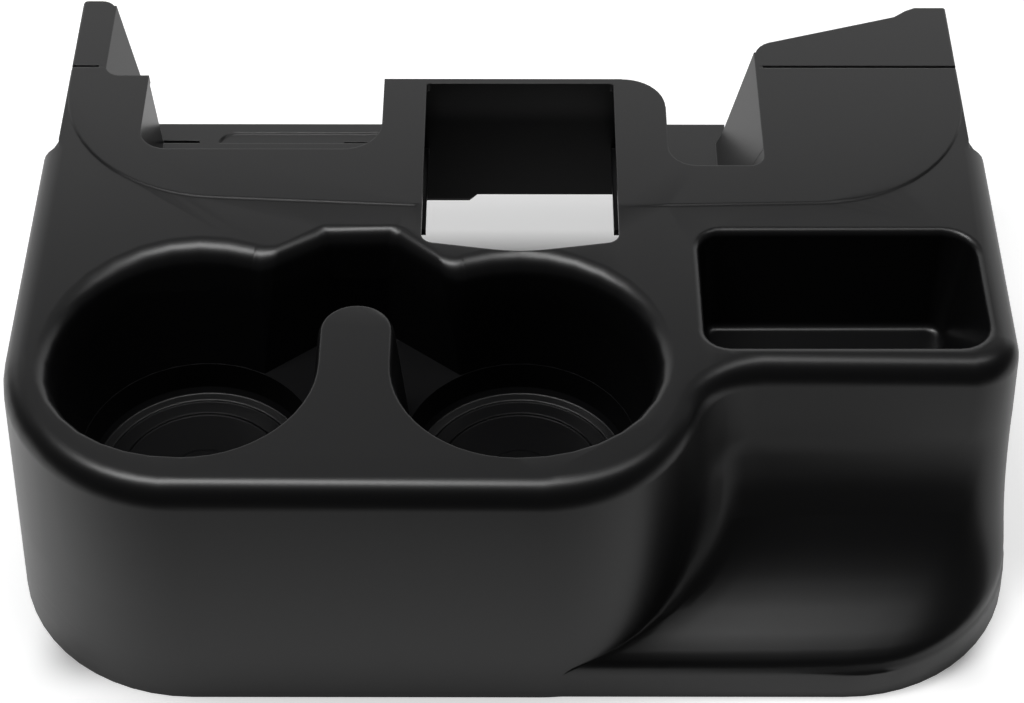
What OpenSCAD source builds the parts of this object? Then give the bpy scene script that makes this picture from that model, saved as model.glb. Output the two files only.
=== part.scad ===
// Truck console cup holder: one injection moulded shell, open underneath and at the back.
// Two cup wells share one opening with a finger of the deck between them, a pocket lies to the
// right, a chute goes right through behind the wells, and two horns reach back at the sides.
// X runs across the vehicle, -Y is the front and Z is up. The layout is drawn from a datum line
// behind the cup wells (y = 0) and moved to the middle of the part at the end.

/* [Body] */
// Width across the deck between its long sides
body_w = 370; // [360:1:400]
// Distance from the datum line to the front face below the rim
front_d = 116.5; // [114:0.5:125]
// Height of the deck above the base
deck_h = 108.8; // [100:0.1:125]
// Wall thickness of the shell
wall = 3; // [2:0.1:3.5]
// How far each outer wall leans out at the base
lean = 4.6; // [2:0.1:8]
// Radius of the rolled rim round the deck
rim_r = 9; // [6:0.5:11]
// Plan radius of the front left corner
corner_r = 69.3; // [50:0.1:72]
// How much tighter that corner is at the base
corner_tighten = 3; // [0:0.1:6]

/* [Step back on the right] */
// Distance from the datum line to the face that is set back on the right
setback_d = 57; // [52:0.5:62]
// Plan radius of the right side of the cup housing
housing_r = 58.3; // [50:0.1:59]
// Position of the centre of that radius across the part
housing_x = 10.5; // [5:0.5:14]
// Plan radius of the inner corner beside the cup housing at the top
valley_r = 25; // [15:0.5:28]
// Plan radius of the same inner corner down at the foot
valley_foot_r = 29; // [20:0.5:32]
// Plan radius of the outer corner of the set back face
setback_corner_r = 18; // [12:0.5:24]
// Height of the foot at its front edge
foot_h = 20; // [14:0.5:26]
// Radius of the sweep from the set back face into the foot
sweep_r = 26; // [18:0.5:32]
// Slope of the top of the foot
foot_slope = 6; // [3:0.5:10]
// Radius of the front edge of the foot
foot_edge_r = 8; // [5:0.5:9]
// Plan radius of the front right corner of the foot at the base
foot_corner_r = 66.5; // [50:0.5:70]

/* [Cup wells] */
// Distance between the axes of the two wells
cup_pitch = 120; // [116:0.5:124]
// Position of the right well across the part
cup_x = 2.6; // [0:0.1:5]
// Distance from the datum line to the axes of the wells
cup_d = 51; // [49:0.5:53]
// Radius of each well at the deck
cup_r = 50; // [48:0.1:51]
// Height of the shelf between the wells above the base
shelf_h = 60; // [55:0.5:68]
// Height of the floor of the wells above the base
floor_h = 47; // [42:0.5:50]
// How far the walls of the wells lean in down to the shelf
well_draft = 5.4; // [3:0.1:6]
// How far the walls of the notch behind the finger lean in down to the shelf
notch_draft = 5; // [3:0.5:7]
// Stretch of the left well's mouth to the back
left_stretch = 0.10; // [0:0.01:0.12]
// Radius of the seat for the foot of a cup
seat_r = 37.3; // [34:0.1:40]
// Depth of that seat
seat_depth = 1.8; // [1:0.1:3]
// Width of the sloping side of the seat
seat_side = 6.3; // [2:0.1:7]
// Radius of the small disc in the middle of the seat
hub_r = 12; // [10:0.5:18]
// Height of that disc
hub_h = 0.8; // [0.5:0.1:1.5]
// Width of the finger between the wells
finger_w = 29; // [25:0.5:32]
// Distance from the datum line to the tip of the finger
finger_tip = 22; // [18:0.5:30]
// Depth of the rounded mouth of the opening
mouth_depth = 8; // [5:0.5:10]
// Width of the rounded mouth at the back of the wells
mouth_back = 9; // [6:0.5:10]
// Width of the rounded mouth at the outer sides of the wells
mouth_side = 6; // [3:0.5:8]
// Width of the rounded mouth at the front of the wells
mouth_front = 2; // [1:0.5:4]
// How much less the wells reach to the front than to the side
front_short = 3.8; // [0:0.1:5.4]
// Width of the rounded edge of the finger
finger_edge = 2.5; // [1.5:0.5:4]

/* [Notch behind the finger] */
// How far the notch reaches behind the datum line
notch_reach = 13.5; // [10:0.5:15]
// Width of the back of the notch
notch_w = 25; // [18:0.5:28]
// Angle of the sloping sides of the notch, halfway down
notch_angle = 42; // [38:1:50]
// How much steeper those sides are at the deck, and how much less steep at the shelf
notch_twist = 4; // [0:1:10]
// Width of the rounded mouth of the notch
notch_mouth = 6.5; // [4:0.5:8]
// Plan radius of the back corners of the notch
notch_back_r = 6; // [3:0.5:8]
// Plan radius where the notch runs into the wells, at the deck
notch_blend_r = 9; // [5:0.5:12]

/* [Pocket] */
// Position of the left side of the pocket across the part
pocket_x = 70; // [68:0.5:76]
// Distance from the right side of the body to the pocket
pocket_rim = 11; // [9:0.5:16]
// Distance from the datum line to the front of the pocket
pocket_front = 44; // [42:0.5:46]
// Distance from the datum line to the back of the pocket
pocket_back = 16; // [10:0.5:18]
// Height of the pocket floor above the base
pocket_floor_h = 62; // [50:0.5:70]
// Plan radius of the corners of the pocket
pocket_corner_r = 9; // [6:0.5:14]
// Radius of the rounded rim of the pocket
pocket_rim_r = 3; // [1.5:0.5:3.5]
// How far the right side of the pocket leans in down to its floor
pocket_lean = 7; // [4:0.5:14]
// How far the other sides of the pocket lean in down to its floor
pocket_draft = 4; // [2:0.5:5]

/* [Chute] */
// Left side of the chute across the part
chute_left = -35; // [-40:0.5:-33]
// Width of the chute
chute_w = 75; // [60:0.5:76]
// Distance from the datum line to the front corners of the chute
chute_front = 10.5; // [10:0.5:16]
// How far the front edge of the chute bows forward
chute_bow = 6; // [3:0.5:6]
// Height of the lower edge of the wall behind the chute
apron_h = 49.4; // [40:0.5:60]
// Depth of the lip on the left of that edge
apron_lip = 3.4; // [2:0.1:6]

/* [Back of the deck] */
// Distance from the datum line to the back of the deck
back_d = 105; // [100:0.5:110]
// Distance from the datum line to the jog in the sides
jog_d = 64; // [50:0.5:66]
// Width of that jog
jog_w = 5; // [3:0.5:7]
// Edge radius of the sides behind the jog
back_edge_r = 1.2; // [0.5:0.1:2]
// Left side of the left notch across the part
left_notch_x = -147; // [-150:0.5:-144]
// Width of the left notch
left_notch_w = 95; // [88:0.5:96]
// Distance from the datum line to the front of the left notch
left_notch_d = 62.5; // [58:0.5:68]
// Left side of the right notch across the part
right_notch_x = 60.5; // [58:0.5:64]
// Right side of the right notch across the part
right_notch_end = 97.8; // [95:0.1:102]
// Distance from the datum line to the front of the right notch
right_notch_d = 53; // [50:0.5:60]
// Plan radius in the corners of the notches
notch_corner_r = 11; // [7:0.5:13]
// Height of the ledge inside the notches above the base
ledge_h = 75; // [66:0.5:84]
// Distance from the datum line to the back edge of the ledge
ledge_d = 117; // [112:0.5:122]
// Angle at which the inner walls under the horns lean
inner_wall_angle = 23; // [10:1:26]
// Angle at which the sides of the left notch lean
notch_side_angle = 4.5; // [2:0.5:8]
// Depth of the flange that hangs from the ledge
flange_depth = 22; // [10:0.5:26]
// Height of the raised back part of the deck over the front part
deck_step = 0.6; // [0.4:0.1:1.2]
// Distance from the datum line to the middle of that step
deck_step_d = 31; // [30:0.5:40]

// Plan radius of the right corner of the tab between the notches
tab_r = 17; // [10:0.5:20]

/* [Horns] */
// Width of the left horn
left_horn_w = 15; // [12:0.5:18]
// Distance from the datum line to the tip of the left horn
left_horn_d = 155; // [140:0.5:160]
// Distance from the datum line to the tip of the right horn
right_horn_d = 151; // [140:0.5:156]
// Distance from the datum line to the inner corner of the right horn
right_horn_inner_d = 129; // [122:0.5:134]
// Plan radius of that corner
horn_corner_r = 10; // [4:0.5:12]
// Distance from the datum line to the groove across the horns
groove_d = 112; // [110:0.5:116]
// Width of that groove
groove_w = 1.4; // [0.8:0.1:2]
// Depth of that groove
groove_depth = 1; // [0.4:0.1:1.2]
// Plan radius where the left horn runs into the strip beside the notch
root_r = 6; // [3:0.5:9]
// Height at which the backs of the horns meet the back of the side walls
horn_root_h = 58; // [40:0.5:70]

/* [Ribs and feet] */
// Thickness of the ribs under the deck
rib_t = 2.4; // [1.6:0.1:3]
// Depth of the ribs under the deck
rib_depth = 14; // [8:0.5:20]

/* [Hidden] */
eps = 0.01;
over = 1;
half_w = body_w / 2;
skin_back = left_horn_d + 12;
// Steps of a rounding, and how finely they are drawn: 1 where it shows and less on hidden sides
rim_steps = 6;
sweep_steps = 8;
edge_steps = 6;
corner_steps = 14;
$detail = 1;
hidden = 0.4;
function steps(n) = max(2, round(n * $detail));
wall_top = deck_h - rim_r;
front_face = -front_d;
base_front = front_face - lean;
setback_face = -setback_d;
housing_y = front_face + housing_r;
left_cup_x = cup_x - cup_pitch;
finger_x = cup_x - cup_pitch / 2;
cups_y = -cup_d;
deck_under = deck_h - wall;
notch_mid_x = finger_x - 1;
chute_right = chute_left + chute_w;
left_notch_end = left_notch_x + left_notch_w;
left_horn_x = -half_w + jog_w + left_horn_w;
shift_y = (base_front + left_horn_d) / 2;

// A polygon whose corners are rounded and whose edges are moved sideways
// corners = [x, y, radius] in anticlockwise order, moves = one outward distance for each edge
function cross2(a, b) = a.x * b.y - a.y * b.x;
function unit(v) = v / norm(v);
function outward(d) = [d.y, -d.x];
function edge_dir(c, i) = let (a = c[i], b = c[(i + 1) % len(c)]) unit([b.x - a.x, b.y - a.y]);
function moved_corner(c, moves, i) =
    let (j = (i + len(c) - 1) % len(c), d1 = edge_dir(c, j), d2 = edge_dir(c, i),
         p1 = [c[i].x, c[i].y] + outward(d1) * moves[j], p2 = [c[i].x, c[i].y] + outward(d2) * moves[i],
         k = cross2(d1, d2))
    abs(k) < 0.0001 ? p2 : p1 + d1 * cross2(p2 - p1, d2) / k;
function corner_arc(v, d1, d2, r, steps) =
    let (turn = atan2(cross2(d1, d2), d1 * d2), t = r * tan(abs(turn) / 2), s = v - d1 * t,
         centre = s - outward(d1) * r * sign(turn))
    [for (k = [0 : steps]) let (a = turn * k / steps, q = s - centre)
        centre + [q.x * cos(a) - q.y * sin(a), q.x * sin(a) + q.y * cos(a)]];
function corner_count(r) = steps(r > 30 ? corner_steps : r > 12 ? 10 : 6);
function rounded(c, moves) = [for (i = [0 : len(c) - 1])
    let (j = (i + len(c) - 1) % len(c), d1 = edge_dir(c, j), d2 = edge_dir(c, i),
         v = moved_corner(c, moves, i), k = cross2(d1, d2),
         r = max(0.3, c[i][2] + sign(k) * (moves[i] + moves[j]) / 2))
    each (c[i][2] == 0 ? [v] : corner_arc(v, d1, d2, r, corner_count(c[i][2])))];
function same(c, d) = [for (p = c) d];
function arc_points(centre, r, from, to, steps) =
    [for (k = [0 : steps]) let (a = from + (to - from) * k / steps) centre + r * [cos(a), sin(a)]];

// A solid through rings of equally many points, the highest ring first. Each four sided patch is
// split along its shorter diagonal.
module loft(rings) {
    n = len(rings[0][0]);
    last = len(rings) - 1;
    points = [for (ring = rings, p = ring[0]) [p.x, p.y, ring[1]]];
    top = [for (i = [n - 1 : -1 : 0]) i];
    bottom = [for (i = [0 : n - 1]) last * n + i];
    sides = [for (k = [0 : last - 1], i = [0 : n - 1])
        let (j = (i + 1) % n, a = k * n + i, b = k * n + j, c = a + n, d = b + n)
        each norm(points[a] - points[d]) < norm(points[b] - points[c]) + eps
            ? [[a, b, d], [a, d, c]] : [[a, b, c], [b, d, c]]];
    polyhedron(points = points, faces = concat([top], [bottom], sides), convexity = 10);
}

// The outline of the skin at one level. out moves every face outward, front_right is the line of
// the set back face there, and foot is 0 on the wall and 1 at the front edge of the foot. Behind the
// jog the sides have a small edge radius instead of the rolled rim, and in is the ring's thickness.
function skin_ring(out, z, front_right, foot, in) =
    let (side = half_w + out, back_side = half_w - jog_w + max(out, -in - back_edge_r),
         low = 1 - z / deck_h, front = front_face - out,
         r_left = corner_r + out - corner_tighten * low,
         r_house = housing_r + out, r_valley = valley_r + (valley_foot_r - valley_r) * foot - min(0, out),
         line = max(front_right, front + 0.4),
         valley_y = line - r_valley,
         valley_x = housing_x + sqrt(pow(r_house + r_valley, 2) - pow(valley_y - housing_y, 2)),
         turn = atan2(valley_y - housing_y, valley_x - housing_x),
         r_right = setback_corner_r + (foot_corner_r - setback_corner_r) * foot + min(0, out))
    concat(
        [[half_w / 2, skin_back], [-back_side, skin_back], [-back_side, jog_d + jog_w], [-side, jog_d]],
        arc_points([-side + r_left, front + r_left], r_left, 180, 270, steps(corner_steps)),
        arc_points([housing_x, housing_y], r_house, 270, 360 + turn, steps(corner_steps)),
        arc_points([valley_x, valley_y], r_valley, 180 + turn, 90, steps(8)),
        arc_points([side - r_right, line + r_right], r_right, 270, 360, steps(corner_steps)),
        [[side, jog_d], [back_side, jog_d + jog_w], [back_side, skin_back]]);

// How far the outer wall stands out at a height, less the thickness
function lean_at(z, in) = lean * (1 - min(1, z / wall_top)) - in;

// The skin of the body, in from its outer face by a thickness
module skin(in) {
    sweep_top = foot_h + sweep_r + foot_slope * 0.4;
    sweep_y = setback_face - lean_at(sweep_top, 0) - sweep_r;
    edge_y = base_front + foot_edge_r + 0.4;
    edge_z = foot_h - foot_edge_r;
    rim = [for (k = [0 : steps(rim_steps)]) let (a = 90 * k / steps(rim_steps))
        [-rim_r + (rim_r - in) * sin(a), wall_top + (rim_r - in) * cos(a)]];
    sweep = [for (k = [0 : steps(sweep_steps)]) let (a = (90 - foot_slope) * k / steps(sweep_steps))
        [sweep_y + (sweep_r + in) * cos(a), sweep_top - (sweep_r + in) * sin(a)]];
    edge = [for (k = [0 : steps(edge_steps)]) let (a = foot_slope + (90 - foot_slope) * k / steps(edge_steps))
        [edge_y - (foot_edge_r - in) * sin(a), edge_z + (foot_edge_r - in) * cos(a)]];
    loft(concat(
        [for (p = rim) [skin_ring(p.x, p.y, setback_face - p.x, 0, in), p.y]],
        [for (p = sweep) let (foot = max(0, (sweep[0].x - p.x) / (sweep[0].x - base_front)))
            [skin_ring(lean_at(p.y, in), p.y, p.x, foot, in), p.y]],
        [for (p = edge) let (foot = (sweep[0].x - p.x) / (sweep[0].x - base_front))
            [skin_ring(lean_at(p.y, in), p.y, p.x, min(1, foot), in), p.y]],
        [[skin_ring(lean_at(0, in), 0, base_front + in + eps, 1, in), in > 0 ? -over : 0]]));
}

// The outline of the opening over both wells, without the finger. t is 1 at the deck, 0 at the foot
// of the rounded mouth and -1 at the shelf, and grow moves the whole outline out for a wall.
function grown(t, at_deck, draft) = t > 0 ? at_deck * t : draft * t;
function well_radius(t, a) =
    cup_r - front_short * pow(max(0, -sin(a)), 2) * min(1, 1 + t)
    + grown(t, mouth_side + (sin(a) > 0 ? mouth_back - mouth_side : mouth_side - mouth_front) * sin(a), well_draft);
function stretched(p, t) =
    let (share = max(0, min(1, (finger_x - 18 - p.x) / 17)) * left_stretch * min(1, 1 + t))
    p.y > cups_y ? [p.x, cups_y + (p.y - cups_y) * (1 + share)] : p;
function blend_centre(c, r, corner, along, out, f) =
    let (from = corner + out * f - c, b = from * along)
    corner + out * f + along * (-b - sqrt(b * b - from * from + pow(r + f, 2)));
function opening_side(c, side, t, grow) =
    let (f = t > 0 ? notch_blend_r : max(0.4, notch_blend_r * (1 + t)), r = well_radius(t, 55) + grow,
         slope = notch_angle + notch_twist * t,
         along = [side * cos(slope), -sin(slope)], out = [side * sin(slope), cos(slope)],
         push = grown(t, notch_mouth, notch_draft) + grow,
         line = [notch_mid_x + side * notch_w / 2, notch_reach] + out * push,
         blend = blend_centre(c, r, line, along, out, f), turn = atan2(blend.y - c.y, side * (blend.x - c.x)))
    concat(
        [for (k = [0 : steps(18)]) let (a = -90 + (90 + turn) * k / steps(18))
            c + (well_radius(t, a) + grow) * [side * cos(a), sin(a)]],
        [for (k = [0 : steps(8)]) let (a = turn + (90 - turn - slope) * k / steps(8))
            blend - f * [side * cos(a), sin(a)]],
        corner_arc(line - along * push * tan(slope / 2), -along, [-side, 0], notch_back_r, steps(5)));
function opening_ring(t, grow) =
    let (right = opening_side([cup_x, cups_y], 1, t, grow), left = opening_side([left_cup_x, cups_y], -1, t, grow))
    [for (p = concat(right, [for (k = [len(left) - 1 : -1 : 0]) left[k]])) stretched(p, t)];

module opening(out) {
    down = deck_h - mouth_depth;
    sink = out > 0 ? wall / 2 : 0;
    loft(concat(
        out == 0 ? [[opening_ring(1, 0), deck_h + over]] : [],
        [for (k = [0 : steps(rim_steps)]) let (a = 90 * k / steps(rim_steps))
            [opening_ring(1 - sin(a), out), down + mouth_depth * cos(a) - sink]],
        [[opening_ring(-1, out), shelf_h - out]]));
}

// The finger of deck between the wells, from its blind end at the front to its round tip. Its
// flared foot follows the front wall of the opening, and in moves its sides in by a thickness.
finger_flare = cup_r - 6;
module finger(in) {
    half = finger_w / 2;
    front_r = well_radius(0, -90);
    foot = cups_y - front_r - eps;
    reach = half + finger_flare + 10;
    corners = [[finger_x + reach, foot, 0], [finger_x + half, foot, finger_flare],
        [finger_x + half, -finger_tip, half - 0.2], [finger_x - half, -finger_tip, half - 0.2],
        [finger_x - half, foot, finger_flare], [finger_x - reach, foot, 0],
        [finger_x - reach, foot - 12, 0], [finger_x + reach, foot - 12, 0]];
    down = deck_h - mouth_depth;
    side_draft = well_draft * 0.7;
    function moves(t, side) = let (front = front_r - well_radius(t, -90) - in)
        [front, side - in, side - in, side - in, front, 0, 0, 0];
    loft(concat(
        in == 0 ? [[rounded(corners, moves(1, -finger_edge)), deck_h + over + eps]] : [],
        [for (k = [0 : steps(rim_steps)]) let (a = 90 * k / steps(rim_steps))
            [rounded(corners, moves(1 - sin(a), -finger_edge * (1 - sin(a)))),
             down + mouth_depth * cos(a) - in]],
        [[rounded(corners, moves(-1, side_draft)), shelf_h - in - (in > 0 ? over : eps)]]));
}

// One round well under the shelf, with the seat for the foot of a cup
well_ledge = 0.5;
well_top_r = cup_r - well_draft - well_ledge;
well_lean = well_draft / (deck_h - mouth_depth - shelf_h);
well_foot_r = well_top_r - (shelf_h - floor_h) * well_lean;
module well(x) {
    translate([x, cups_y, 0]) rotate_extrude($fn = 96)
        polygon([[0, shelf_h + over], [well_top_r + over * well_lean, shelf_h + over],
            [well_foot_r + 2 * well_lean, floor_h + 2], [well_foot_r - 1.5, floor_h], [seat_r, floor_h],
            [seat_r - seat_side, floor_h - seat_depth], [hub_r + 1, floor_h - seat_depth],
            [hub_r, floor_h - seat_depth + hub_h], [0, floor_h - seat_depth + hub_h]]);
}

// The wall round one well
module well_shell(x) {
    base = floor_h - seat_depth - wall;
    translate([x, cups_y, base]) cylinder(h = shelf_h - base - wall / 2,
        r1 = well_foot_r + wall - 1, r2 = well_top_r + wall - 0.4, $fn = 64);
}

// The pocket, moved out by a thickness for its wall
pocket_end = half_w - pocket_rim;
pocket_corners = [
    [pocket_x, -pocket_front, pocket_corner_r], [pocket_end, -pocket_front, pocket_corner_r + 3],
    [pocket_end, pocket_back, pocket_corner_r + 3], [pocket_x, pocket_back, pocket_corner_r]];
pocket_leans = [-pocket_draft / 2, -pocket_lean, -pocket_draft, -pocket_draft];
module pocket(out) {
    floor_r = 3;
    floor_z = pocket_floor_h - out;
    levels = steps(5);
    sink = out > 0 ? wall / 2 : 0;
    loft(concat(
        out == 0 ? [[rounded(pocket_corners, same(pocket_corners, pocket_rim_r)), deck_h + over]] : [],
        [for (k = [0 : levels]) let (a = 90 * k / levels)
            [rounded(pocket_corners, same(pocket_corners, out + pocket_rim_r * (1 - sin(a)))),
             deck_h - pocket_rim_r * (1 - cos(a)) - sink]],
        [for (k = [0 : levels]) let (a = 90 * k / levels)
            [rounded(pocket_corners, [for (m = pocket_leans) out + m - floor_r * (1 - cos(a))]),
             floor_z + floor_r * (1 - sin(a))]]));
}

// The outline of the chute in the deck
module chute_outline(out) {
    corners = [[chute_left, chute_front, 5], [(chute_left + chute_right) / 2, chute_front - chute_bow, 90],
        [chute_right, chute_front, 5], [chute_right, back_d - wall, 1.5], [chute_left, back_d - wall, 1.5]];
    polygon(rounded(corners, same(corners, out)));
}

// The wall behind the chute, with a lip at its lower left
module apron() {
    lip_w = chute_w * 0.22;
    translate([0, back_d, 0]) rotate([90, 0, 0]) linear_extrude(wall)
        polygon([[chute_left - wall, apron_h - apron_lip], [chute_left + lip_w, apron_h - apron_lip],
            [chute_left + lip_w + apron_lip, apron_h], [chute_right + wall, apron_h],
            [chute_right + wall, deck_h - wall / 2], [chute_left - wall, deck_h - wall / 2]]);
}

// The two notches in the back of the deck, moved out by a thickness for their walls. Their sides
// lean in down to the ledge, the right side of the right one as far as the inner walls of the horns.
inner_lean = tan(inner_wall_angle);
deck_top = deck_h + deck_step;
module notch(out, from, to, front, front_right_r, left_lean, right_lean) {
    corners = [[from, front, notch_corner_r], [to, front, front_right_r],
        [to, skin_back + wall, 0], [from, skin_back + wall, 0]];
    top = out > 0 ? deck_h - wall / 2 : deck_top + over;
    function moves(z) = [out, out - (deck_top - z) * right_lean, 0, out - (deck_top - z) * left_lean];
    loft([for (z = [top, ledge_h - out]) [rounded(corners, moves(z)), z]]);
}

module left_notch(out) {
    draft = tan(notch_side_angle);
    notch(out, left_notch_x, left_notch_end, left_notch_d, notch_corner_r + 4, draft, draft);
}

module right_notch(out) {
    notch(out, right_notch_x, right_notch_end, right_notch_d, root_r, 0, inner_lean);
}

// What is cut from the deck behind the tab and between the horns
module back_outline() {
    strip_back = back_d + 2;
    clear_x = right_notch_end - 6;
    horn_corner = [right_notch_end + horn_corner_r + 0.05, right_horn_inner_d - horn_corner_r];
    step_x = half_w - 28;
    tip_x = half_w - 19;
    polygon(concat(
        arc_points([left_horn_x + root_r, strip_back + root_r], root_r, 180, 270, 5),
        [[left_notch_x + over, strip_back], [left_notch_x + over, back_d - 10],
         [left_notch_end - over, back_d - 10], [left_notch_end - over, back_d]],
        arc_points([right_notch_x - tab_r, back_d - tab_r], tab_r, 90, 0, 10),
        [[clear_x, back_d - tab_r], [clear_x, horn_corner.y]],
        arc_points(horn_corner, horn_corner_r, 180, 100, 6),
        [[step_x, right_horn_d - 6], [step_x + 5, right_horn_d - 2], [tip_x, right_horn_d],
         [half_w + 20, right_horn_d], [half_w + 20, skin_back + 20], [left_horn_x, skin_back + 20]]));
}

// The left horn's rounded tip, cut in plan
module left_tip_outline() {
    difference() {
        translate([-half_w - 20, left_horn_d - 6]) square([left_horn_x + half_w + 21, 40]);
        translate([-half_w, left_horn_d - 12])
            polygon(rounded([[jog_w, 0, 0], [jog_w + left_horn_w, 0, 0], [jog_w + left_horn_w, 12, 6.3],
                [jog_w + 0.5, 12, 3]], [0, 0, 0, 0]));
    }
}

// Everything behind the sloping backs of the horns and side walls
module back_trim() {
    translate([-half_w - 30, 0, 0]) rotate([90, 0, 90]) linear_extrude(body_w + 60)
        polygon([[back_d + 2, -10], [back_d + 2, horn_root_h], [left_horn_d + 0.1, deck_h - wall - 0.3],
            [left_horn_d + 0.2, deck_h + 20], [skin_back + 30, deck_h + 20], [skin_back + 30, -10]]);
}

// The raised back part of the deck, with a sloping edge along the front and a rounded edge that
// goes into the side walls at the sides
module raised_deck() {
    side = half_w - jog_w - back_edge_r - 0.1;
    slope = 2.5;
    round_r = 0.8;
    corners = [[side, skin_back, 0], [-side, skin_back, 0], [-side, deck_step_d + 8, 66],
        [-40, deck_step_d, 60], [60, deck_step_d, 60], [side, deck_step_d + 3, 62]];
    function moves(down) = let (in = down < round_r ? round_r - sqrt(pow(round_r, 2) - pow(round_r - down, 2)) : 0,
        front = slope * down) [0, -in, front, front, front, -in];
    loft([for (down = [0, 0.25 * round_r, round_r, deck_step + wall / 2])
        [rounded(corners, moves(down)), deck_top - down]]);
}

// The ledge inside the notches with the flange behind it, two slots and a shallow panel
module ledge() {
    slot_w = 15;
    slot_d = 9;
    slot_y = back_d - 7.5;
    from = left_horn_x + (deck_h - ledge_h) * inner_lean;
    to = right_notch_end - (deck_h - ledge_h) * inner_lean + 1.3 * wall;
    panel_x = left_notch_x + 26;
    panel_back = ledge_d - 6;
    panel = [[panel_x, left_notch_d + 3, 2], [left_notch_end - 1, left_notch_d + 3, 2],
        [left_notch_end - 1, panel_back, 2], [panel_x, panel_back, 7]];
    difference() {
        union() {
            translate([from, right_notch_d, ledge_h - wall]) cube([to - from, ledge_d - right_notch_d, wall]);
            translate([from, ledge_d - wall, ledge_h - flange_depth]) cube([to - from, wall, flange_depth]);
        }
        translate([0, 0, ledge_h - 2 * wall]) linear_extrude(3 * wall) {
            translate([chute_left, 0]) square([chute_w, back_d - wall]);
            translate([left_notch_x + 2.6, slot_y]) square([slot_w, slot_d]);
            translate([left_notch_end - slot_w - 3, slot_y]) square([slot_w, slot_d]);
        }
        loft([[rounded(panel, same(panel, 0.9)), ledge_h + eps], [rounded(panel, same(panel, 0)), ledge_h - 0.7]]);
    }
}

// An inner wall that leans from the edge of a horn in to the ledge. side is 1 on the right.
module inner_wall(side, x, from, back_at_deck, back_at_ledge) {
    top = deck_top - 0.05;
    low = ledge_h - wall / 2;
    function edge(z) = x - side * (0.05 + (deck_top - z) * inner_lean);
    function ring(z, back) = let (a = edge(z), b = a + side * wall)
        [[min(a, b), from], [max(a, b), from], [max(a, b), back], [min(a, b), back]];
    loft([[ring(top, back_at_deck), top], [ring(low, back_at_ledge), low]]);
}

// A rib under the deck, drawn thinner at its lower edge so that it leaves the mould
module rib(x, from, to, depth) {
    top = deck_under + wall / 2;
    bottom = deck_under - depth;
    hull() {
        translate([x - rib_t / 2, from, top - over]) cube([rib_t, to - from, over]);
        translate([x - rib_t / 3, from, bottom]) cube([rib_t * 2 / 3, to - from, over]);
    }
}

// Ribs that run back from the wells and the pocket, spread evenly over each side
module ribs() {
    from = cups_y + cup_r + mouth_back;
    left_step = (chute_left - left_notch_x) / 5;
    for (k = [1 : 4]) rib(left_notch_x + k * left_step, from, left_notch_d + wall, rib_depth);
    right_step = (half_w - jog_w - right_notch_end) / 4;
    for (k = [1 : 3]) rib(right_notch_end + k * right_step, pocket_back + pocket_rim_r, back_d - wall, rib_depth);
    rib(right_notch_x + (right_notch_end - right_notch_x) / 2, pocket_back + pocket_rim_r,
        right_notch_d - wall / 2, rib_depth);
}

// The walls that hang from the deck round the wells, the pocket and the notches
module hanging_walls() {
    difference() {
        opening(wall, $detail = hidden);
        finger(wall, $detail = hidden);
    }
    well_shell(cup_x);
    well_shell(left_cup_x);
    pocket(wall - 0.5, $detail = hidden);
    intersection() {
        union() {
            left_notch(wall);
            right_notch(wall);
        }
        translate([-half_w, 0, 0]) cube([body_w, back_d, deck_h]);
    }
    apron();
    ribs();
}

// Everything but the round wells, which are turned separately
module shell() {
    difference() {
        union() {
            difference() {
                skin(0);
                skin(wall, $detail = hidden);
            }
            raised_deck();
            hanging_walls();
        }
        difference() {
            opening(0);
            finger(0);
        }
        pocket(0);
        translate([0, 0, -over]) linear_extrude(deck_h + 2 * over + deck_step) chute_outline(0);
        left_notch(0);
        right_notch(0);
        translate([0, 0, deck_under - eps]) linear_extrude(20) back_outline();
        translate([right_notch_x - tab_r, back_d - tab_r, ledge_h - 0.5]) difference() {
            cube([2 * tab_r, 2 * tab_r, deck_h]);
            translate([0, 0, -over]) cylinder(h = deck_h + 2 * over, r = tab_r - 0.15, $fn = 44);
        }
        translate([0, 0, deck_under - eps]) linear_extrude(20) left_tip_outline();
        back_trim();
        for (x = [-half_w, right_notch_end + 1.5])
            translate([x, groove_d, deck_h + deck_step - groove_depth])
                cube([x < 0 ? left_horn_w + jog_w - 0.6 : half_w, groove_w, over + groove_depth]);
    }
    ledge();
    inner_wall(-1, left_horn_x, back_d - 4, left_horn_d - 3, back_d + 18);
    inner_wall(1, right_notch_end, right_notch_d + root_r + 4, right_horn_inner_d - horn_corner_r + 3, back_d - 4);
}

module cup_holder_body() {
    translate([0, -shift_y, 0]) difference() {
        color("#2b2b2c") shell();
        well(cup_x);
        well(left_cup_x);
    }
}

cup_holder_body();
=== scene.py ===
# %% [markdown]
# # A moulded cup holder housing for a truck
#
# The part is one injection moulding in black ABS: a deck with two cup wells, a pocket and a chute,
# leaning walls all round it, and a foot that sweeps out on the right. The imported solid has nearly
# every form. This lesson softens the sweep of the foot, steps the border of the seats, shades a mesh
# of flat facets so that it looks moulded, gives it a plastic that is black but not flat, and lights
# black plastic with what it reflects.

# %% Load the frame
import math
import bmesh
import bpy
from mathutils import Matrix, Vector
from mathutils.kdtree import KDTree


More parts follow.
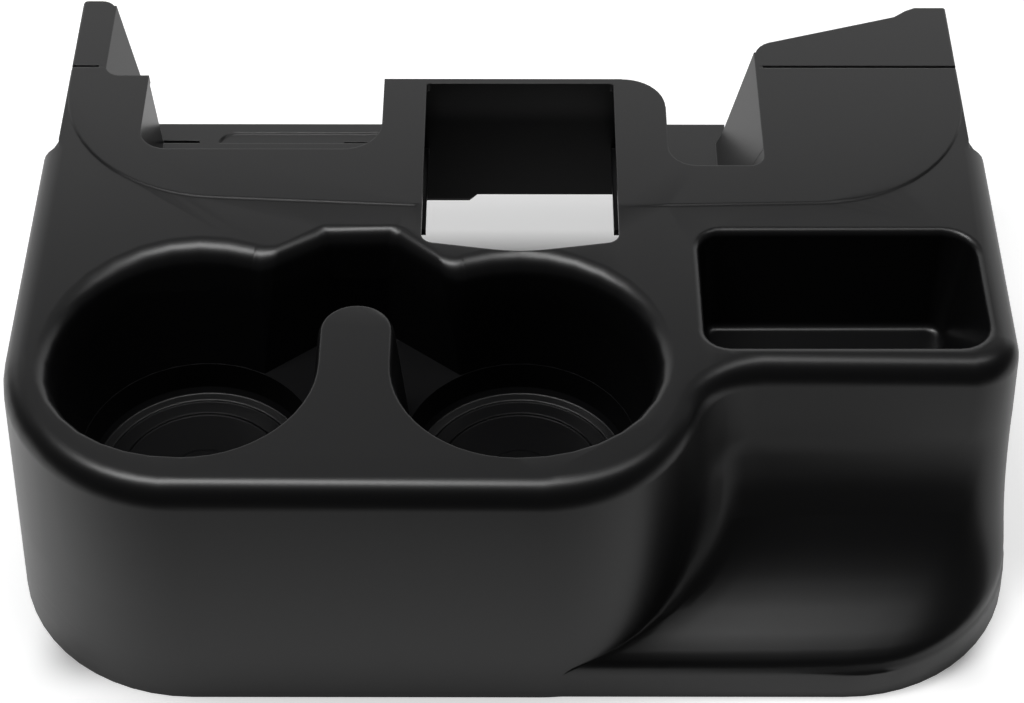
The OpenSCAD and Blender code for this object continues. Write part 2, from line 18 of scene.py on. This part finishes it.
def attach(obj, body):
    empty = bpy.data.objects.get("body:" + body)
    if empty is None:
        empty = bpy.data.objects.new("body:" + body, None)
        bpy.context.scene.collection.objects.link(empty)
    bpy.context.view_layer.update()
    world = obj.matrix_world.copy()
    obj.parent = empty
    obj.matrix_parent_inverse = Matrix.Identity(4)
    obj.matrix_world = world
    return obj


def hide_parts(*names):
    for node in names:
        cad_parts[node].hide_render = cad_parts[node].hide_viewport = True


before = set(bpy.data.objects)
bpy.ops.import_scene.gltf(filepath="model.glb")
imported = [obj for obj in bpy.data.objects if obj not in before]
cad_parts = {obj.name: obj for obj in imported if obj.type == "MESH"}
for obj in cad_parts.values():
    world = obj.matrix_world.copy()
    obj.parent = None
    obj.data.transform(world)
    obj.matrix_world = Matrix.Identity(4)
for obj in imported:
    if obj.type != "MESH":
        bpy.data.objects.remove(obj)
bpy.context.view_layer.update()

# %% [markdown]
# ## Small helpers
#
# Colours are written as sRGB hex, as a designer would note them, and turned to the linear values
# that the shader works in. One function adds a node, sets its values and makes its links. A mask is
# a value that is 1 inside an area and 0 outside it, and masks are put together from such nodes.

# %% Colours and nodes
def linear(hex_colour):
    """Linear RGBA of an sRGB colour such as '#1a1a1c'."""
    channels = [int(hex_colour[i:i + 2], 16) / 255 for i in (1, 3, 5)]
    return [c / 12.92 if c <= 0.04045 else ((c + 0.055) / 1.055) ** 2.4 for c in channels] + [1.0]


def add_node(tree, kind, settings=None, **inputs):
    """A node of that kind. An input is a value or an output to link. in0 is the first, _ a space."""
    node = tree.nodes.new(kind)
    for name, value in (settings or {}).items():
        setattr(node, name, value)
    for name, value in inputs.items():
        key = int(name[2:]) if name.startswith("in") and name[2:].isdigit() else name.replace("_", " ")
        socket = node.inputs[key]
        if isinstance(value, bpy.types.NodeSocket):
            tree.links.new(value, socket)
        else:
            socket.default_value = value
    return node


def empty_tree(owner):
    """The owner's node tree, with nothing in it."""
    owner.use_nodes = True
    owner.node_tree.nodes.clear()
    return owner.node_tree


# %% Masks
def combine(tree, operation, masks):
    """Several masks in one. MULTIPLY keeps where all of them are 1, MAXIMUM where any of them is."""
    result = masks[0]
    for mask in masks[1:]:
        both = add_node(tree, "ShaderNodeMath", {"operation": operation}, in0=result, in1=mask)
        result = both.outputs[0]
    return result


def between(tree, value, low, high):
    """1 where the value lies between low and high, 0 elsewhere."""
    sides = [add_node(tree, "ShaderNodeMath", {"operation": "GREATER_THAN"}, in0=more, in1=less)
             for more, less in ((value, low), (high, value))]
    return combine(tree, "MULTIPLY", [side.outputs[0] for side in sides])


# %% [markdown]
# ## The camera
#
# The housing is seen from its front, from above the height of a seat. The camera looks down by almost
# as much as it looks forward, from a metre away, through a lens of about 91 mm on a 36 mm wide frame.

# %% Camera
CAMERA_PITCH = 45.79
CAMERA_TURN = -0.10
CAMERA_DISTANCE = 1.00418
CAMERA_LENS = 91.03
SENSOR_WIDTH = 36
NEAR_CLIP = 0.05
LOOKS_AT = Vector((-0.00053, -0.01695, 0.060))


def aim(thing, forward):
    """Turns an object so that its -Z axis looks along forward, with its X axis level."""
    side = forward.cross(Vector((0, 0, 1))).normalized()
    up = side.cross(forward)
    turn = Matrix((side, up, -forward)).transposed().to_4x4()
    thing.matrix_world = Matrix.Translation(thing.location) @ turn


def make_camera():
    pitch, turn = math.radians(CAMERA_PITCH), math.radians(CAMERA_TURN)
    forward = Vector((math.sin(turn) * math.cos(pitch), math.cos(turn) * math.cos(pitch), -math.sin(pitch)))
    camera = bpy.data.objects.new("camera", bpy.data.cameras.new("camera"))
    bpy.context.scene.collection.objects.link(camera)
    camera.data.lens = CAMERA_LENS
    camera.data.sensor_width = SENSOR_WIDTH
    camera.data.clip_start = NEAR_CLIP
    camera.location = LOOKS_AT - forward * CAMERA_DISTANCE
    aim(camera, forward)
    bpy.context.scene.camera = camera
    return camera


camera = make_camera()
print("camera at", [round(c, 3) for c in camera.location])

# %% [markdown]
# ## The floor and the light
#
# Black plastic has hardly any colour of its own, so what the eye reads is what it mirrors. A long
# softbox hangs over the left half of the part and draws the bright line along every rolled edge. A
# weaker one hangs over the right half. Behind the part stands a pale card, which the deck mirrors
# and so turns dark grey. The walls mirror the white paper that the part stands on. In reflections
# that paper ends a short way in front, and beyond it the studio is dark, which is why the walls get
# darker towards the top. Under the part the paper doesn't glow, so it is grey through the chute.

# %% Floor, in m
FLOOR_SIZE = 6.0
FLOOR_COLOUR = "#f2f2f2"
# What the camera sees the paper add to its own light, near the part and far from it
FLOOR_GLOW = (0.58, 1.0)
GLOW_GROWS = (0.35, 0.90)
FLOOR_MIRRORED = 0.28
DARK_STUDIO = 0.06
PAPER_FULL_TO = -0.14
PAPER_GONE_AT = -0.36
# Where the shade under the part starts and where it is full, from the sides, the front and the back
SHADE_SIDES = (0.185, 0.160)
SHADE_FRONT = (-0.138, -0.115)
SHADE_BACK = (0.200, 0.120)


def under_part(tree, parts):
    """1 on the paper under the part, 0 outside it, with soft edges."""
    sideways = add_node(tree, "ShaderNodeMath", {"operation": "ABSOLUTE"}, in0=parts.outputs["X"]).outputs[0]
    back = parts.outputs["Y"]
    fades = [add_node(tree, "ShaderNodeMapRange", {"interpolation_type": "SMOOTHSTEP"}, Value=value,
                      From_Min=start, From_Max=full, To_Min=0.0, To_Max=1.0).outputs["Result"]
             for value, (start, full) in ((sideways, SHADE_SIDES), (back, SHADE_FRONT), (back, SHADE_BACK))]
    return combine(tree, "MULTIPLY", fades)


def paper_glow(tree, place, parts, light_path):
    """The paper's own light, one level for the camera and one for reflections."""
    away = add_node(tree, "ShaderNodeVectorMath", {"operation": "LENGTH"}, in0=place.outputs["Object"])
    glow_seen = add_node(tree, "ShaderNodeMapRange", {"interpolation_type": "SMOOTHSTEP"},
                         Value=away.outputs["Value"], From_Min=GLOW_GROWS[0], From_Max=GLOW_GROWS[1],
                         To_Min=FLOOR_GLOW[0], To_Max=FLOOR_GLOW[1])
    to_camera = add_node(tree, "ShaderNodeMath", {"operation": "MULTIPLY"},
                         in0=light_path.outputs["Is Camera Ray"], in1=glow_seen.outputs["Result"])
    to_mirror = add_node(tree, "ShaderNodeMath", {"operation": "MULTIPLY"},
                         in0=light_path.outputs["Is Glossy Ray"], in1=FLOOR_MIRRORED)
    level = add_node(tree, "ShaderNodeMath", {"operation": "MAXIMUM"},
                     in0=to_camera.outputs[0], in1=to_mirror.outputs[0])
    in_open = add_node(tree, "ShaderNodeMath", {"operation": "SUBTRACT"}, in0=1.0, in1=under_part(tree, parts))
    strength = add_node(tree, "ShaderNodeMath", {"operation": "MULTIPLY"},
                        in0=level.outputs[0], in1=in_open.outputs[0])
    return add_node(tree, "ShaderNodeEmission", Strength=strength.outputs[0])


def white_paper():
    """Paper that is white to the camera. In reflections it ends in front of the part."""
    paper = bpy.data.materials.new("white paper sweep")
    tree = empty_tree(paper)
    light_path = add_node(tree, "ShaderNodeLightPath")
    place = add_node(tree, "ShaderNodeTexCoord")
    parts = add_node(tree, "ShaderNodeSeparateXYZ", Vector=place.outputs["Object"])
    glow = paper_glow(tree, place, parts, light_path)
    paint = add_node(tree, "ShaderNodeBsdfDiffuse", Color=linear(FLOOR_COLOUR))
    lit_paper = add_node(tree, "ShaderNodeAddShader", in0=paint.outputs[0], in1=glow.outputs[0])
    gone = add_node(tree, "ShaderNodeMapRange", Value=parts.outputs["Y"],
                    From_Min=PAPER_FULL_TO, From_Max=PAPER_GONE_AT, To_Min=0.0, To_Max=1.0)
    gone_mirrored = add_node(tree, "ShaderNodeMath", {"operation": "MULTIPLY"},
                             in0=gone.outputs["Result"], in1=light_path.outputs["Is Glossy Ray"])
    studio = add_node(tree, "ShaderNodeEmission", Strength=DARK_STUDIO)
    both = add_node(tree, "ShaderNodeMixShader", in0=gone_mirrored.outputs[0],
                    in1=lit_paper.outputs[0], in2=studio.outputs[0])
    add_node(tree, "ShaderNodeOutputMaterial", Surface=both.outputs[0])
    return paper


def make_floor():
    bpy.ops.mesh.primitive_plane_add(size=FLOOR_SIZE)
    floor = bpy.context.object
    floor.name = "floor"
    floor.data.materials.append(white_paper())
    return floor


floor = make_floor()
print("floor:", FLOOR_SIZE, "m wide")

# %% Pale card behind the part, in m
CARD_WIDTH = 2.4
CARD_FOOT = 0.001
CARD_HEIGHT = 0.72
CARD_Y = 0.66
CARD_LEVEL = 1.0


def make_card():
    """A card that the camera doesn't see, so that it hides nothing in a view from behind."""
    mesh = bpy.data.meshes.new("pale card")
    half = CARD_WIDTH / 2
    corners = ((-half, CARD_FOOT), (half, CARD_FOOT), (half, CARD_HEIGHT), (-half, CARD_HEIGHT))
    mesh.from_pydata([(x, CARD_Y, z) for x, z in corners], [], [(0, 1, 2, 3)])
    card = bpy.data.objects.new("pale card", mesh)
    bpy.context.scene.collection.objects.link(card)
    surface = bpy.data.materials.new("lit white card")
    tree = empty_tree(surface)
    glow = add_node(tree, "ShaderNodeEmission", Strength=CARD_LEVEL)
    add_node(tree, "ShaderNodeOutputMaterial", Surface=glow.outputs[0])
    mesh.materials.append(surface)
    card.visible_camera = False
    return card


card = make_card()
print("card:", CARD_WIDTH, "m wide, up to", CARD_HEIGHT, "m")

# %% Softboxes over the part, in m
SOFTBOX_HEIGHT = 1.05
SOFTBOX_DEPTH = 0.22
# The name of each, its place across the part, its width and its radiance
SOFTBOXES = (("softbox over the wells", -0.28, 0.62, 12.0), ("softbox over the pocket", 0.34, 0.60, 3.2))


def make_softbox(name, across, width, radiance):
    """A rectangular lamp that looks straight down, whose face has that radiance, whatever its size."""
    lamp = bpy.data.lights.new(name, "AREA")
    lamp.shape = "RECTANGLE"
    lamp.size, lamp.size_y = width, SOFTBOX_DEPTH
    lamp.energy = radiance * math.pi * width * SOFTBOX_DEPTH
    box = bpy.data.objects.new(name, lamp)
    bpy.context.scene.collection.objects.link(box)
    box.location = (across, 0.0, SOFTBOX_HEIGHT)
    print(name + ":", round(lamp.energy, 2), "W")


for softbox in SOFTBOXES:
    make_softbox(*softbox)

# %% Room round the part
ROOM_LOW = 0.05
ROOM_BACK = 0.10
# The Y of the direction at which the room is darkest in front and palest behind
ROOM_FADE = (-0.75, 0.90)


def make_room():
    """White to the camera, and to reflections dark in front and a little paler behind."""
    world = bpy.data.worlds.new("room")
    bpy.context.scene.world = world
    tree = empty_tree(world)
    direction = add_node(tree, "ShaderNodeTexCoord")
    parts = add_node(tree, "ShaderNodeSeparateXYZ", Vector=direction.outputs["Generated"])
    level = add_node(tree, "ShaderNodeMapRange", {"interpolation_type": "SMOOTHSTEP"},
                     Value=parts.outputs["Y"], From_Min=ROOM_FADE[0], From_Max=ROOM_FADE[1],
                     To_Min=ROOM_LOW, To_Max=ROOM_BACK)
    light_path = add_node(tree, "ShaderNodeLightPath")
    strength = add_node(tree, "ShaderNodeMath", {"operation": "MAXIMUM"},
                        in0=light_path.outputs["Is Camera Ray"], in1=level.outputs["Result"])
    room = add_node(tree, "ShaderNodeBackground", Strength=strength.outputs[0])
    add_node(tree, "ShaderNodeOutputWorld", Surface=room.outputs[0])


make_room()
bpy.context.scene.view_settings.view_transform = "Standard"
print("room, as reflections see it:", ROOM_LOW, "to", ROOM_BACK)

# %% [markdown]
# ## The plastic
#
# Interior parts like this are moulded in ABS with the black mixed right through it. The mould's
# faces are spark eroded, which leaves a fine even grain and a satin sheen rather than a gloss. The
# colour is nearly black and the roughness is what sets how far each reflection spreads. The real
# grain is finer than a tenth of a millimetre and couldn't be seen here, so it is drawn coarser.
# Down in the wells and the chute the part looks almost black. That darkness is shade, and it is painted
# in: the plastic is given less gloss in those hollows. The two small steps round each seat keep their
# full gloss, because they catch a thin arc of light.

# %% Where shade is painted into the hollows as less gloss, in m
PAINTED_SHADE_LIP_Z = 0.100
PAINTED_SHADE_FADE = 0.012
CUP_CENTRES = ((-0.1174, -0.06795), (0.0026, -0.06795))
CUP_REACH = 0.0525
# Left, right, front and back of each box
BETWEEN_CUPS_BOX = (-0.115, 0.0, -0.110, -0.005)
CHUTE_BOX = (-0.040, 0.045, 0.0, 0.098)
SEAT_STEPS_Z = ((0.0453, 0.0460), (0.0464, 0.0471))


def painted_shade_areas(tree, parts):
    """Masks of the places in plan where the wells and the chute are, which get the painted shade."""
    x, y = parts.outputs["X"], parts.outputs["Y"]
    level = add_node(tree, "ShaderNodeCombineXYZ", X=x, Y=y)
    areas = []
    for centre in CUP_CENTRES:
        away = add_node(tree, "ShaderNodeVectorMath", {"operation": "DISTANCE"}, in0=level.outputs[0],
                        in1=(*centre, 0))
        near = add_node(tree, "ShaderNodeMath", {"operation": "GREATER_THAN"}, in0=CUP_REACH,
                        in1=away.outputs["Value"])
        areas.append(near.outputs[0])
    for left, right, front, back in (BETWEEN_CUPS_BOX, CHUTE_BOX):
        areas.append(combine(tree, "MULTIPLY", [between(tree, x, left, right), between(tree, y, front, back)]))
    return areas


def painted_shade_in_hollows(tree, parts):
    """Painted shade: 1 on the walls and floors of the wells and the chute, 0 elsewhere and on the seats' steps.
    """
    z = parts.outputs["Z"]
    below_lip = add_node(tree, "ShaderNodeMapRange", {"interpolation_type": "SMOOTHSTEP"}, Value=z,
                         From_Min=PAINTED_SHADE_LIP_Z, From_Max=PAINTED_SHADE_LIP_Z - PAINTED_SHADE_FADE, To_Min=0.0, To_Max=1.0)
    on_steps = combine(tree, "MAXIMUM", [between(tree, z, low, high) for low, high in SEAT_STEPS_Z])
    off_steps = add_node(tree, "ShaderNodeMath", {"operation": "SUBTRACT"}, in0=1.0, in1=on_steps)
    in_plan = combine(tree, "MAXIMUM", painted_shade_areas(tree, parts))
    return combine(tree, "MULTIPLY", [in_plan, below_lip.outputs["Result"], off_steps.outputs[0]])


# %% Material
ABS_BLACK = "#0f0f10"
ABS_ROUGHNESS = 0.33
ABS_IOR = 1.52
PLAIN_GLOSS = 0.5
# Painted shade: the share of the gloss that is left on the walls and floors of the wells and the chute
PAINTED_SHADE_GLOSS = 0.3
GRAIN_MM = 0.6
GRAIN_DEPTH_MM = 0.010
GRAIN_DETAIL, GRAIN_ROUGHNESS, GRAIN_STRENGTH = 2.0, 0.6, 0.5
EDGE_RADIUS_MM = 0.8
EDGE_SAMPLES = 6
# Heights in m between which the wells have a small step, which stays unrounded
WELL_STEP_Z = (0.0575, 0.0625)


def moulded_abs():
    plastic = bpy.data.materials.new("moulded ABS, fine grain")
    tree = empty_tree(plastic)
    place = add_node(tree, "ShaderNodeTexCoord")
    grain = add_node(tree, "ShaderNodeTexNoise", Vector=place.outputs["Object"], Scale=1000 / GRAIN_MM,
                     Detail=GRAIN_DETAIL, Roughness=GRAIN_ROUGHNESS)
    parts = add_node(tree, "ShaderNodeSeparateXYZ", Vector=place.outputs["Object"])
    edge_radius = add_node(tree, "ShaderNodeMapRange", Value=between(tree, parts.outputs["Z"], *WELL_STEP_Z),
                           To_Min=EDGE_RADIUS_MM / 1000, To_Max=0.0)
    soft_edge = add_node(tree, "ShaderNodeBevel", {"samples": EDGE_SAMPLES}, Radius=edge_radius.outputs["Result"])
    bump = add_node(tree, "ShaderNodeBump", Strength=GRAIN_STRENGTH, Distance=GRAIN_DEPTH_MM / 1000,
                    Height=grain.outputs[0], Normal=soft_edge.outputs[0])
    # Less gloss where shade is painted into the wells and the chute
    gloss = add_node(tree, "ShaderNodeMapRange", Value=painted_shade_in_hollows(tree, parts), To_Min=PLAIN_GLOSS,
                     To_Max=PLAIN_GLOSS * PAINTED_SHADE_GLOSS)
    abs_plastic = add_node(tree, "ShaderNodeBsdfPrincipled", Base_Color=linear(ABS_BLACK), IOR=ABS_IOR,
                           Roughness=ABS_ROUGHNESS, Specular_IOR_Level=gloss.outputs["Result"],
                           Normal=bump.outputs["Normal"])
    add_node(tree, "ShaderNodeOutputMaterial", Surface=abs_plastic.outputs[0])
    return plastic


plastic = moulded_abs()
print("material:", plastic.name, "with", len(plastic.node_tree.nodes), "nodes")

# %% [markdown]
# ## The sweep of the foot
#
# The solid's outer skin is a stack of level rings. Each ring follows the cup housing, an inner
# corner, the face that is set back and the right corner. On the real part the set back face runs
# into the foot in one large sweep, softer than the solid has it. A new patch would have to be
# stitched to the mesh. Instead the same rings are laid out twice, as the solid has them and as they
# should look, and each corner of the mesh on an old ring is moved to the new one. The new rings are
# relaxed first, so that the inner corner flows into the foot.

# %% Sizes of the solid round the foot, in mm from its datum
HALF_WIDTH = 185.0
LEAN = 4.6
WALL_TOP = 99.8
SETBACK_FACE = -57.0
BASE_FRONT = -121.1
FRONT_FACE = -116.5
BEHIND_FRONT = 0.4
HOUSING_CENTRE = (10.5, -58.2)
HOUSING_R = 58.3
EDGE_CENTRE = (-112.7, 12.0)
EDGE_R = 8.0
FOOT_H = 20.0
RISE_PER_DEGREE = 0.4
DATUM_SHIFT = -16.95
ARC_STEPS, VALLEY_STEPS, SWEEP_STEPS, EDGE_STEPS = 14, 8, 8, 6
# The radii of the inner corner and of the right corner are given at the top and at the foot
SOLID_SHAPE = {"sweep_r": 26.0, "slope": 6.0, "valley": (25.0, 29.0), "corner": (18.0, 66.5)}
SEEN_SHAPE = {"sweep_r": 52.0, "slope": 16.0, "valley": (25.0, 62.0), "corner": (18.0, 66.5)}


# %% Rings of the skin
def arc(centre, radius, start, end, steps):
    angles = [math.radians(start + (end - start) * k / steps) for k in range(steps + 1)]
    return [(centre[0] + radius * math.cos(a), centre[1] + radius * math.sin(a)) for a in angles]


def stands_out(z):
    """How far the leaning walls stand out at a height."""
    return LEAN * (1 - min(1, z / WALL_TOP))


def ring(z, line, foot, shape):
    """The ring's points from the front of the cup housing to the right side."""
    out = stands_out(z)
    line = max(line, FRONT_FACE - out + BEHIND_FRONT)
    house = HOUSING_R + out
    valley = shape["valley"][0] + (shape["valley"][1] - shape["valley"][0]) * foot
    corner = shape["corner"][0] + (shape["corner"][1] - shape["corner"][0]) * foot
    valley_y = line - valley
    valley_x = HOUSING_CENTRE[0] + math.sqrt((house + valley) ** 2 - (valley_y - HOUSING_CENTRE[1]) ** 2)
    turn = math.degrees(math.atan2(valley_y - HOUSING_CENTRE[1], valley_x - HOUSING_CENTRE[0]))
    plan = (arc(HOUSING_CENTRE, house, 270, 360 + turn, ARC_STEPS)
            + arc((valley_x, valley_y), valley, 180 + turn, 90, VALLEY_STEPS)
            + arc((HALF_WIDTH + out - corner, line + corner), corner, 270, 360, ARC_STEPS))
    return [Vector((x, y + DATUM_SHIFT, z)) / 1000 for x, y in plan]


def foot_rings(shape, sweep_top, sweep_back):
    """Rings from the top of the sweep down over the rounded edge of the foot."""
    radius, slope = shape["sweep_r"], shape["slope"]
    rows = []
    for k in range(SWEEP_STEPS + 1):
        a = math.radians((90 - slope) * k / SWEEP_STEPS)
        rows.append((sweep_back + radius * math.cos(a), sweep_top - radius * math.sin(a)))
    for k in range(EDGE_STEPS + 1):
        a = math.radians(slope + (90 - slope) * k / EDGE_STEPS)
        rows.append((EDGE_CENTRE[0] - EDGE_R * math.sin(a), EDGE_CENTRE[1] + EDGE_R * math.cos(a)))
    first = rows[0][0]
    return [ring(z, y, min(1, max(0, (first - y) / (first - BASE_FRONT))), shape) for y, z in rows]


# %% The softer sweep
SETTLE_FROM = 60.0
SETTLE_ROUNDS = 20
RELAX_ROUNDS = 7
CREASE_ROUNDS = 30
CREASE_COLUMNS = ARC_STEPS + VALLEY_STEPS - 2
RELAX_SHARE = 0.5


def tangent_sweep(shape):
    """Where the sweep starts so that it leaves the set back face and meets the foot's slope smoothly."""
    radius, slope = shape["sweep_r"], math.radians(shape["slope"])
    edge = (EDGE_CENTRE[0] - EDGE_R * math.sin(slope), EDGE_CENTRE[1] + EDGE_R * math.cos(slope))
    top = SETTLE_FROM
    for _ in range(SETTLE_ROUNDS):
        back = SETBACK_FACE - stands_out(top) - radius
        on_slope = edge[1] + (back + radius * math.sin(slope) - edge[0]) * math.tan(slope)
        top = on_slope + radius * math.cos(slope)
    return top, back


def outside_housing(point):
    """The point, moved out to the round wall of the cup housing if it lies within it."""
    centre = Vector((HOUSING_CENTRE[0], HOUSING_CENTRE[1] + DATUM_SHIFT)) / 1000
    away = point.xy - centre
    wall = (HOUSING_R + stands_out(point.z * 1000)) / 1000
    if away.length >= wall:
        return point
    on_wall = centre + away.normalized() * wall
    return Vector((on_wall.x, on_wall.y, point.z))


def relaxed(rows):
    """Moves each inner point towards the middle of its four neighbours, longest in the inner corner."""
    for turn in range(CREASE_ROUNDS):
        last = len(rows[0]) - 1 if turn < RELAX_ROUNDS else CREASE_COLUMNS
        middle = [[(rows[r - 1][c] + rows[r + 1][c] + rows[r][c - 1] + rows[r][c + 1]) / 4
                   for c in range(1, last)] for r in range(1, len(rows) - 1)]
        for r, new in enumerate(middle, 1):
            for c, point in enumerate(new, 1):
                rows[r][c] = outside_housing(rows[r][c].lerp(point, RELAX_SHARE))
    return rows


# %% Moving the mesh's corners, in m
FOUND_WITHIN = 0.00003


def find_corners(shell, points):
    """The mesh's corner at each of the points, or None where it has none."""
    corners = list(shell.verts)
    places = KDTree(len(corners))
    for index, vert in enumerate(corners):
        places.insert(vert.co, index)
    places.balance()
    nearest = [places.find(point) for point in points]
    return [corners[index] if away < FOUND_WITHIN else None for _, index, away in nearest]


def soften_foot(shell):
    """Moves the corners of the solid's foot onto the softer rings. Says how many of how many it found."""
    solid_top = FOOT_H + SOLID_SHAPE["sweep_r"] + SOLID_SHAPE["slope"] * RISE_PER_DEGREE
    solid_back = SETBACK_FACE - stands_out(solid_top) - SOLID_SHAPE["sweep_r"]
    old = [point for row in foot_rings(SOLID_SHAPE, solid_top, solid_back) for point in row]
    new = [point for row in relaxed(foot_rings(SEEN_SHAPE, *tangent_sweep(SEEN_SHAPE))) for point in row]
    moves = {vert: goes for vert, goes in zip(find_corners(shell, old), new) if vert is not None}
    for vert, goes in moves.items():
        vert.co = goes
    return len(moves), len(old)


# %% [markdown]
# ## The border of the seats
#
# Each well ends in a round seat for the foot of a cup. The solid has a slope round it. On the real
# part that band is nearly flat, and a small step on each side of it catches a thin arc of light. So
# the faces of the slope are taken out, and three bands take their place between the same circles.

# %% Seats, in m
SEAT_FACETS = 96
# Radius and height of each circle, from the outside in
SEAT_RINGS = ((0.0373, 0.0470), (0.0370, 0.0463), (0.0314, 0.0461), (0.0310, 0.0452))


def step_seat(shell, centre):
    """Puts the flat border and its two steps round a seat. False if a corner of it isn't found."""
    turns = [math.tau * k / SEAT_FACETS for k in range(SEAT_FACETS)]
    circles = [[Vector((centre[0] + radius * math.cos(a), centre[1] + radius * math.sin(a), z))
                for a in turns] for radius, z in SEAT_RINGS]
    outer, inner = find_corners(shell, circles[0]), find_corners(shell, circles[-1])
    if None in outer + inner:
        return False
    on_slope = set(outer + inner)
    slope = [face for face in shell.faces if set(face.verts) <= on_slope and set(face.verts) & set(outer)
             and set(face.verts) & set(inner)]
    bmesh.ops.delete(shell, geom=slope, context="FACES_ONLY")
    rings = [outer] + [[shell.verts.new(point) for point in circle] for circle in circles[1:-1]] + [inner]
    for high, low in zip(rings, rings[1:]):
        for k in range(SEAT_FACETS):
            after = (k + 1) % SEAT_FACETS
            shell.faces.new((high[k], high[after], low[after], low[k]))
    return True


# %% [markdown]
# ## The housing
#
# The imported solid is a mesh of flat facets. A moulded part has no facets: its surfaces run smoothly
# into each other and break only at real edges. So the facets' shared corners are joined, edges that
# turn by more than SHARP_ANGLE are kept sharp, and the others are shaded smooth. The seats are
# shallow, so there a smaller turn already counts as an edge. Large faces are given more say in the
# shading than narrow ones, so that the flat deck stays flat up to its rim.

# %% Housing
SHARP_ANGLE = 30
SEAT_SHARP_ANGLE = 8
SEAT_Z = (0.0445, 0.0475)
JOIN_DISTANCE = 0.000002
LARGE_FACE_WEIGHT = 100


def shade_smooth(shell):
    """Shades every face smooth, and keeps the edges that turn more than their limit sharp."""
    for edge in shell.edges:
        on_seat = all(SEAT_Z[0] < vert.co.z < SEAT_Z[1] for vert in edge.verts)
        limit = SEAT_SHARP_ANGLE if on_seat else SHARP_ANGLE
        edge.smooth = edge.calc_face_angle(math.pi) < math.radians(limit)
    for face in shell.faces:
        face.smooth = True


def make_housing(node, name):
    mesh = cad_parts[node].data.copy()
    mesh.name = name
    shell = bmesh.new()
    shell.from_mesh(mesh)
    bmesh.ops.remove_doubles(shell, verts=shell.verts, dist=JOIN_DISTANCE)
    print("corners of the foot moved, and on its rings:", soften_foot(shell))
    print("seats given a flat border:", [step_seat(shell, centre) for centre in CUP_CENTRES])
    shell.normal_update()
    shade_smooth(shell)
    shell.to_mesh(mesh)
    shell.free()
    if "custom_normal" in mesh.attributes:
        mesh.attributes.remove(mesh.attributes["custom_normal"])
    housing = bpy.data.objects.new(name, mesh)
    bpy.context.scene.collection.objects.link(housing)
    mesh.materials.clear()
    mesh.materials.append(plastic)
    weighted = housing.modifiers.new("large faces lead", "WEIGHTED_NORMAL")
    weighted.weight = LARGE_FACE_WEIGHT
    weighted.keep_sharp = True
    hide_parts(node)
    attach(housing, "root")
    return housing


housing = make_housing("cup_holder_body", "housing")
print("housing:", len(housing.data.polygons), "faces")
